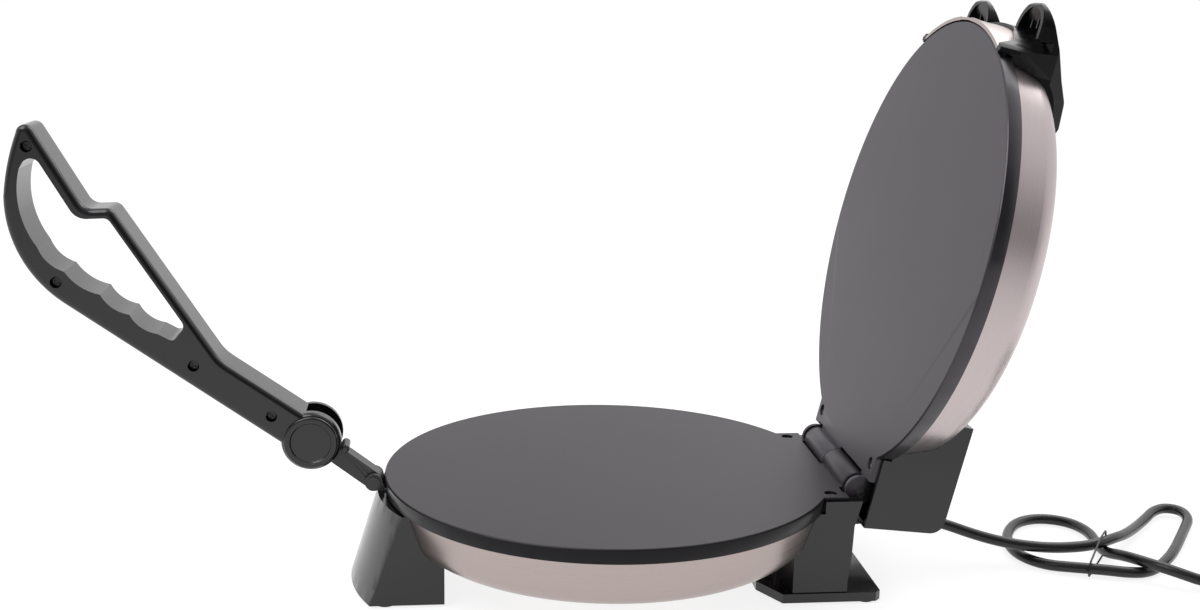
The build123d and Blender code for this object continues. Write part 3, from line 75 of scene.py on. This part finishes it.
# ---------------------------------------------------------------- cord
# Millimetres, but for the length. The cord leaves the rear foot, crosses itself in a tied
# figure of eight and ends in a round coil and a short tail to the plug.
CORD_D = 6.4
LAY = 3.3                 # height of the centre line where the cord lies on the table
ROUTE = [
    (0, 158.7, 28), (0, 177, 28), (3, 198, 24.5), (6, 221, 16.5), (9, 240, 12.2),
    (12, 257, 10.6), (13.5, 273, 10.4), (12, 291, 11.0), (1, 309, 10.8), (-14, 324, 7.2),
    (-33, 340.5, 4.6), (-47, 353.5, 4.4), (-58, 363, 4.6), (-64, 374, 5.0),
    (-59, 383.5, 4.6), (-46, 382, 3.8), (-31, 371.5, LAY), (-16, 361, LAY),
    (-1, 350.5, LAY),
    (14.5, 338.5, LAY), (28.5, 325, LAY), (36.5, 313, LAY), (38, 301, 4.2), (34, 290, 4.4),
    (28, 273, 4.0), (21.5, 258, LAY), (7, 248, LAY), (-13, 248, LAY), (-33, 256, LAY),
    (-49, 269, LAY), (-54.5, 286, LAY), (-46.5, 302, LAY), (-28, 307, 3.6), (-9, 303, 4.0),
    (8, 301, 4.4), (24, 304, 9.2), (39, 312, 10.4), (50, 324, 9.0), (57, 340, 4.6),
]
COIL_X, COIL_Y = 95.5, 372.0
COIL_TURNS = 3
TURN_POINTS = 14
COIL_START = math.radians(188)
OUTER_R, INNER_R, UPPER_R = 38.4, 31.9, 36.0
UPPER_Z = 8.8             # height of the turn that lies on the two others
INWARD_AT, UPWARD_AT = 0.8, 1.8     # turns wound when the cord starts to move over
MOVE_TURNS = 0.4                    # share of a turn that it takes to move over
TAIL = [
    (59.4, 380, 8.8), (59.4, 394, 8.8), (56.5, 406, 5.5), (47, 415, 4.2), (34, 419, 10.1),
    (21, 419, 10.1),
]


def moved(turn, start):
    """How far the cord has moved over to its next place, from 0 to 1."""
    return min(max((turn - start) / MOVE_TURNS, 0.0), 1.0)


def coil_points():
    """Clockwise turns: outer on the table, inner on the table, then one on top of both."""
    points = []
    for i in range(COIL_TURNS * TURN_POINTS + 1):
        turn = i / TURN_POINTS
        angle = COIL_START - turn * 2 * math.pi
        inward = moved(turn, INWARD_AT)
        upward = moved(turn, UPWARD_AT)
        radius = OUTER_R + (INNER_R - OUTER_R) * inward + (UPPER_R - INNER_R) * upward
        z = LAY + (UPPER_Z - LAY) * upward
        points.append((COIL_X + radius * math.cos(angle), COIL_Y + radius * math.sin(angle), z))
    return points


def curve_piece(name, points, radius):
    """Round NURBS tube that follows control points in millimetres."""
    data = bpy.data.curves.new(name, "CURVE")
    data.dimensions = "3D"
    data.bevel_depth = radius * MM
    data.bevel_resolution = 6
    data.resolution_u = 8
    data.use_fill_caps = True
    spline = data.splines.new("NURBS")
    spline.points.add(len(points) - 1)
    for point, (x, y, z) in zip(spline.points, points):
        point.co = (x * MM, y * MM, z * MM, 1)
    spline.order_u = 3
    spline.use_endpoint_u = True
    piece = bpy.data.objects.new(name, data)
    bpy.context.scene.collection.objects.link(piece)
    return piece


def make_cord():
    cord = curve_piece("mains_cord", ROUTE + coil_points() + TAIL, CORD_D / 2)
    cord.data.materials.append(SLOT_MATERIALS["cord"])
    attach(cord, "base")
    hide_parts("power_cord", "cord_coil", "cord_tail")


# ---------------------------------------------------------------- materials
def new_material(name):
    material = bpy.data.materials.new(name)
    material.use_nodes = True
    shader = material.node_tree.nodes["Principled BSDF"]
    return material, material.node_tree, shader


def node(tree, kind, **values):
    made = tree.nodes.new(kind)
    for key, value in values.items():
        if key in made.inputs:
            made.inputs[key].default_value = value
        else:
            setattr(made, key, value)
    return made


def ramp_colour(value):
    """RGBA of a colour, or of one number as a grey."""
    return (*value, 1) if hasattr(value, "__len__") else (value, value, value, 1)


def noise(tree, scale, detail=3.0, stretch=None, source="Object"):
    """Noise value over object coordinates, drawn out along an axis if stretch is given."""
    place = node(tree, "ShaderNodeTexCoord").outputs[source]
    if stretch:
        mapping = node(tree, "ShaderNodeMapping")
        mapping.inputs["Scale"].default_value = stretch
        tree.links.new(place, mapping.inputs["Vector"])
        place = mapping.outputs["Vector"]
    texture = node(tree, "ShaderNodeTexNoise", Scale=scale, Detail=detail)
    tree.links.new(place, texture.inputs["Vector"])
    return texture.outputs["Fac"]


def ramp(tree, value, low, high, from_at=0.3, to_at=0.7):
    """Colour or number that goes from low to high with value."""
    mix = node(tree, "ShaderNodeValToRGB")
    first, last = mix.color_ramp.elements
    first.position, last.position = from_at, to_at
    first.color = ramp_colour(low)
    last.color = ramp_colour(high)
    tree.links.new(value, mix.inputs["Fac"])
    return mix.outputs["Color"]


def bump(tree, shader, value, strength, distance):
    made = node(tree, "ShaderNodeBump", Strength=strength, Distance=distance)
    tree.links.new(value, made.inputs["Height"])
    tree.links.new(made.outputs["Normal"], shader.inputs["Normal"])


def plain(name, low, high, rough, metallic=0.0, scale=60.0, texture=600.0, strength=0.05,
          depth=0.0002, specular=0.5, coat=0.0):
    """Material with slight colour and gloss variation and a fine surface texture."""
    material, tree, shader = new_material(name)
    shader.inputs["Metallic"].default_value = metallic
    shader.inputs["Specular IOR Level"].default_value = specular
    if coat:
        shader.inputs["Coat Weight"].default_value = coat
        shader.inputs["Coat Roughness"].default_value = 0.08
    cloud = noise(tree, scale)
    tree.links.new(ramp(tree, cloud, low, high), shader.inputs["Base Color"])
    tree.links.new(ramp(tree, cloud, rough[0], rough[1]), shader.inputs["Roughness"])
    bump(tree, shader, noise(tree, texture, 2.0), strength, depth)
    return material


def cone_coordinates(tree, centre, axis_up):
    """Angle round an axis, distance from it and height along it, of the surface point."""
    place = node(tree, "ShaderNodeTexCoord").outputs["Object"]
    mapping = node(tree, "ShaderNodeMapping", vector_type="TEXTURE")
    turn = Vector((0, 0, 1)).rotation_difference(Vector(axis_up)).to_euler()
    mapping.inputs["Location"].default_value = centre
    mapping.inputs["Rotation"].default_value = turn
    tree.links.new(place, mapping.inputs["Vector"])
    split = node(tree, "ShaderNodeSeparateXYZ")
    tree.links.new(mapping.outputs["Vector"], split.inputs["Vector"])
    angle = node(tree, "ShaderNodeMath", operation="ARCTAN2")
    tree.links.new(split.outputs["Y"], angle.inputs[0])
    tree.links.new(split.outputs["X"], angle.inputs[1])
    flat = node(tree, "ShaderNodeVectorMath", operation="MULTIPLY")
    flat.inputs[1].default_value = (1, 1, 0)
    tree.links.new(mapping.outputs["Vector"], flat.inputs[0])
    reach = node(tree, "ShaderNodeVectorMath", operation="LENGTH")
    tree.links.new(flat.outputs["Vector"], reach.inputs[0])
    return angle.outputs["Value"], reach.outputs["Value"], split.outputs["Z"]


BRUSH_STRETCH = (1.5, 5200, 5200)     # long round the axis, fine across it


def brushed(name, centre, axis_up, low, high):
    """Stainless steel with fine brush lines round the dish's axis."""
    material, tree, shader = new_material(name)
    shader.inputs["Metallic"].default_value = 1.0
    angle, reach, height = cone_coordinates(tree, centre, axis_up)
    lines = node(tree, "ShaderNodeCombineXYZ")
    tree.links.new(angle, lines.inputs["X"])
    tree.links.new(reach, lines.inputs["Y"])
    tree.links.new(height, lines.inputs["Z"])
    stretch = node(tree, "ShaderNodeVectorMath", operation="MULTIPLY")
    stretch.inputs[1].default_value = BRUSH_STRETCH
    tree.links.new(lines.outputs["Vector"], stretch.inputs[0])
    texture = node(tree, "ShaderNodeTexNoise", Scale=1.0, Detail=3.0)
    tree.links.new(stretch.outputs["Vector"], texture.inputs["Vector"])
    value = texture.outputs["Fac"]
    colour = ramp(tree, value, low, high, 0.25, 0.75)
    tree.links.new(colour, shader.inputs["Base Color"])
    tree.links.new(ramp(tree, value, 0.27, 0.34), shader.inputs["Roughness"])
    bump(tree, shader, value, 0.03, 0.0001)
    return material


FACE_MARGIN = 0.0004      # metres below the cooking face that still count as face
ENAMEL = (0.006, 0.006, 0.0065)
ENAMEL_ROUGH, FACE_ROUGH = 0.3, 0.42
FACE_SPECULAR = 0.5
GRIDDLE_TINT = (1.0, 0.93, 0.99)


def choose(tree, kind, pick, first, second):
    """Mix node that gives its first value where pick is 0 and its second where pick is 1."""
    mix = node(tree, "ShaderNodeMix", data_type=kind)
    colour = kind == "RGBA"
    tree.links.new(pick, mix.inputs[0])
    mix.inputs[COLOUR_A if colour else NUMBER_A].default_value = first
    second_in = mix.inputs[COLOUR_B if colour else NUMBER_B]
    if isinstance(second, bpy.types.NodeSocket):
        tree.links.new(second, second_in)
    else:
        second_in.default_value = second
    return mix.outputs[COLOUR_OUT if colour else NUMBER_OUT]


def griddle(name, normal, offset, face_low, face_high, skirt_specular):
    """Dark satin non-stick on the cooking face, near-black enamel on the skirt."""
    material, tree, shader = new_material(name)
    place = node(tree, "ShaderNodeTexCoord").outputs["Object"]
    dot = node(tree, "ShaderNodeVectorMath", operation="DOT_PRODUCT")
    dot.inputs[1].default_value = normal
    tree.links.new(place, dot.inputs[0])
    above = node(tree, "ShaderNodeMath", operation="GREATER_THAN")
    above.inputs[1].default_value = offset - FACE_MARGIN
    tree.links.new(dot.outputs["Value"], above.inputs[0])
    face = above.outputs["Value"]
    coating = ramp(tree, noise(tree, 14.0, 4.0), face_low, face_high)
    colour = choose(tree, "RGBA", face, (*ENAMEL, 1), coating)
    tree.links.new(colour, shader.inputs["Base Color"])
    rough = choose(tree, "FLOAT", face, ENAMEL_ROUGH, FACE_ROUGH)
    tree.links.new(rough, shader.inputs["Roughness"])
    specular = choose(tree, "FLOAT", face, skirt_specular, FACE_SPECULAR)
    tree.links.new(specular, shader.inputs["Specular IOR Level"])
    shader.inputs["Specular Tint"].default_value = (*GRIDDLE_TINT, 1)
    bump(tree, shader, noise(tree, 900.0, 2.0), 0.05, 0.0002)
    return material


# Metres. The lid stands open and leans back from upright by LID_LEAN.
PLATE_TOP = 0.0615
HINGE_BACK = 0.1343
HINGE_UP = 0.062
LID_LEAN = math.radians(13)
LID_NORMAL = (0, -math.cos(LID_LEAN), math.sin(LID_LEAN))
LID_OFFSET = -0.11736     # place of the lid's cooking face along its normal
LID_AXIS = Vector((0, math.cos(LID_LEAN), -math.sin(LID_LEAN)))
LID_UP = Vector((0, math.sin(LID_LEAN), math.cos(LID_LEAN)))
LID_CENTRE = Vector((0, HINGE_BACK, HINGE_UP)) + LID_UP * HINGE_BACK

SLOT_MATERIALS = {
    "brushed_shell": brushed(
        "brushed_steel", (0, 0, 0), (0, 0, 1), (0.435, 0.367, 0.352), (0.475, 0.402, 0.387),
    ),
    "black_plastic": plain(
        "black_plastic", (0.005, 0.005, 0.0055), (0.007, 0.007, 0.0075), (0.13, 0.18),
        texture=1500.0, strength=0.01, coat=0.2),
    "black_metal": plain("black_metal", (0.03,) * 3, (0.04,) * 3, (0.3, 0.4)),
    "steel": plain("steel", (0.42,) * 3, (0.5,) * 3, (0.28, 0.38), 1.0),
    "bright_steel": plain("bright_steel", (0.6,) * 3, (0.66,) * 3, (0.14, 0.22), 1.0),
    "element": plain("element_sheath", (0.16, 0.14, 0.13), (0.22, 0.2, 0.18), (0.45, 0.6), 0.8),
    "galvanised": plain("galvanised", (0.5,) * 3, (0.62,) * 3, (0.35, 0.5), 1.0, 25.0),
    "black_rubber": plain("black_rubber", (0.015,) * 3, (0.022,) * 3, (0.6, 0.75), strength=0.2),
    "cord": plain("cord_sheath", (0.009,) * 3, (0.013,) * 3, (0.24, 0.34), strength=0.08),
    "ceramic": plain("ceramic", (0.72, 0.68, 0.6), (0.8, 0.77, 0.7), (0.4, 0.55)),
    "terminal": plain("terminal", (0.66, 0.62, 0.55), (0.72, 0.69, 0.62), (0.4, 0.5)),
    "fuse_sleeve": plain("fuse_sleeve", (0.6, 0.55, 0.42), (0.66, 0.62, 0.5), (0.3, 0.4), 1.0),
    "lead_insulation": plain("lead_insulation", (0.7, 0.68, 0.6), (0.78, 0.75, 0.68), (0.5, 0.6)),
}
NODE_MATERIALS = {
    "lower_plate": griddle(
        "griddle_lower", (0, 0, 1), PLATE_TOP, (0.011, 0.009, 0.011), (0.015, 0.012, 0.015), 0.2,
    ),
    # Both plates carry the same non-stick coating and enamel skirt. The lid plate's colours are
    # set about three times lighter than the lower plate's, and that difference is painted light,
    # standing for how the light falls on each plate.
    "upper_plate": griddle(
        "griddle_upper", LID_NORMAL, LID_OFFSET, (0.034, 0.029, 0.036), (0.041, 0.035, 0.043), 0.8,
    ),
    "lid_saddle": plain(
        "saddle_plastic", (0.004, 0.004, 0.0045), (0.005, 0.005, 0.0055), (0.2, 0.28),
        texture=1500.0, strength=0.01, specular=0.22),
    # The lid's shell is the same steel as the lower shell. Its colours are set lighter than the
    # lower shell's, and that difference is painted light, standing for how the light falls on the
    # open lid.
    "upper_shell": brushed(
        "brushed_steel_lid", LID_CENTRE, LID_AXIS, (0.505, 0.437, 0.435), (0.55, 0.478, 0.475),
    ),
}
# Edge roundings in millimetres, of pieces whose own edges are sharp.
BEVELS = {
    "hub_caps": 0.35, "front_foot": 0.5,
    "rear_foot": 0.5, "lid_rear_cover": 0.6, "lid_saddle": 0.5, "link_bar": 0.4,
    "lower_plate": 0.4, "upper_plate": 0.4, "plug": 0.6, "link_bracket": 0.2,
}


def round_edges(piece, width):
    weld = piece.modifiers.new("weld", "WELD")
    weld.merge_threshold = 0.00001
    edge = piece.modifiers.new("edge", "BEVEL")
    edge.width = width * MM
    edge.segments = 2
    edge.limit_method = "ANGLE"
    edge.angle_limit = math.radians(35)
    edge.harden_normals = True


def dress_nodes():
    slots = {s["node"]: s["material_slot"] for s in frame["record"]["subparts"]}
    for name, piece in NODES.items():
        material = NODE_MATERIALS.get(name) or SLOT_MATERIALS[slots[name]]
        piece.data.materials.clear()
        piece.data.materials.append(material)
        if name in BEVELS:
            round_edges(piece, BEVELS[name])


# ---------------------------------------------------------------- studio
FLAG_TOWARDS = (0.78, 0.61, 0.12)     # a dark card that the lid's side reflects
FLAG_EDGE, FLAG_FULL = 0.8, 0.96      # how nearly a ray must point at it
LIT_SIDE, DIM_SIDE = (0.93, 0.93, 0.94), (0.3, 0.3, 0.33)
LAMPS = (
    ("key", (0.6, -0.9, 1.6), 1.2, 14), ("back", (-0.9, 0.8, 1.5), 1.4, 12),
)
LAMPS_AIM = Vector((0, 0, 0.1))
FLOOR_SIZE = 8
FLOOR_GLOW = 1.2
FLOOR_SEEN = 0.7                      # share of the glow that the camera sees
FLOOR_MIRRORED = 0.65                 # share that shiny pieces see near the machine
MIRROR_FROM, MIRROR_TO = 0.15, 0.5    # where that share fades out, towards the camera


def make_world():
    """White to the camera, and a soft grey room with one dark card to everything else."""
    world = bpy.data.worlds.new("studio")
    bpy.context.scene.world = world
    world.use_nodes = True
    tree = world.node_tree
    background = tree.nodes["Background"]
    place = node(tree, "ShaderNodeTexCoord").outputs["Generated"]
    split = node(tree, "ShaderNodeSeparateXYZ")
    tree.links.new(place, split.inputs["Vector"])
    room = ramp(tree, split.outputs["X"], LIT_SIDE, DIM_SIDE, 0.0, 0.7)
    flag = node(tree, "ShaderNodeVectorMath", operation="DOT_PRODUCT")
    flag.inputs[1].default_value = FLAG_TOWARDS
    tree.links.new(place, flag.inputs[0])
    card = ramp(tree, flag.outputs["Value"], 1.0, 0.3, FLAG_EDGE, FLAG_FULL)
    sky = node(tree, "ShaderNodeMix", data_type="RGBA", blend_type="MULTIPLY")
    sky.inputs[0].default_value = 1.0
    tree.links.new(room, sky.inputs[COLOUR_A])
    tree.links.new(card, sky.inputs[COLOUR_B])
    colour = node(tree, "ShaderNodeMix", data_type="RGBA")
    colour.inputs[COLOUR_B].default_value = (1, 1, 1, 1)
    paths = node(tree, "ShaderNodeLightPath")
    tree.links.new(paths.outputs["Is Camera Ray"], colour.inputs[0])
    tree.links.new(sky.outputs[COLOUR_OUT], colour.inputs[COLOUR_A])
    tree.links.new(colour.outputs[COLOUR_OUT], background.inputs["Color"])


def make_floor():
    """White table that keeps the machine's shadow."""
    bpy.ops.mesh.primitive_grid_add(x_subdivisions=2, y_subdivisions=2, size=FLOOR_SIZE)
    floor = bpy.context.object
    floor.name = "floor"
    material, tree, shader = new_material("floor")
    shader.inputs["Base Color"].default_value = (0.8, 0.8, 0.8, 1)
    shader.inputs["Roughness"].default_value = 0.9
    white = node(tree, "ShaderNodeEmission", Strength=FLOOR_GLOW)
    mix = node(tree, "ShaderNodeMixShader")
    place = node(tree, "ShaderNodeTexCoord").outputs["Object"]
    split = node(tree, "ShaderNodeSeparateXYZ")
    tree.links.new(place, split.inputs["Vector"])
    fade = ramp(tree, split.outputs["X"], FLOOR_MIRRORED, 0.0, MIRROR_FROM, MIRROR_TO)
    paths = node(tree, "ShaderNodeLightPath")
    mirrored = node(tree, "ShaderNodeMath", operation="MULTIPLY")
    tree.links.new(paths.outputs["Is Glossy Ray"], mirrored.inputs[0])
    tree.links.new(fade, mirrored.inputs[1])
    share = node(tree, "ShaderNodeMath", operation="MULTIPLY_ADD")
    share.inputs[1].default_value = FLOOR_SEEN
    tree.links.new(paths.outputs["Is Camera Ray"], share.inputs[0])
    tree.links.new(mirrored.outputs["Value"], share.inputs[2])
    tree.links.new(share.outputs["Value"], mix.inputs["Fac"])
    tree.links.new(shader.outputs["BSDF"], mix.inputs[1])
    tree.links.new(white.outputs["Emission"], mix.inputs[2])
    tree.links.new(mix.outputs["Shader"], tree.nodes["Material Output"].inputs["Surface"])
    floor.data.materials.append(material)


def make_lamps():
    for name, at, size, power in LAMPS:
        data = bpy.data.lights.new(name, "AREA")
        data.size = size
        data.energy = power
        lamp = bpy.data.objects.new(name, data)
        bpy.context.scene.collection.objects.link(lamp)
        lamp.location = at
        lamp.rotation_euler = (Vector(at) - LAMPS_AIM).to_track_quat("Z", "Y").to_euler()


make_camera()
make_cord()
dress_nodes()
bpy.context.scene.view_settings.view_transform = "Standard"
make_world()
make_floor()
make_lamps()
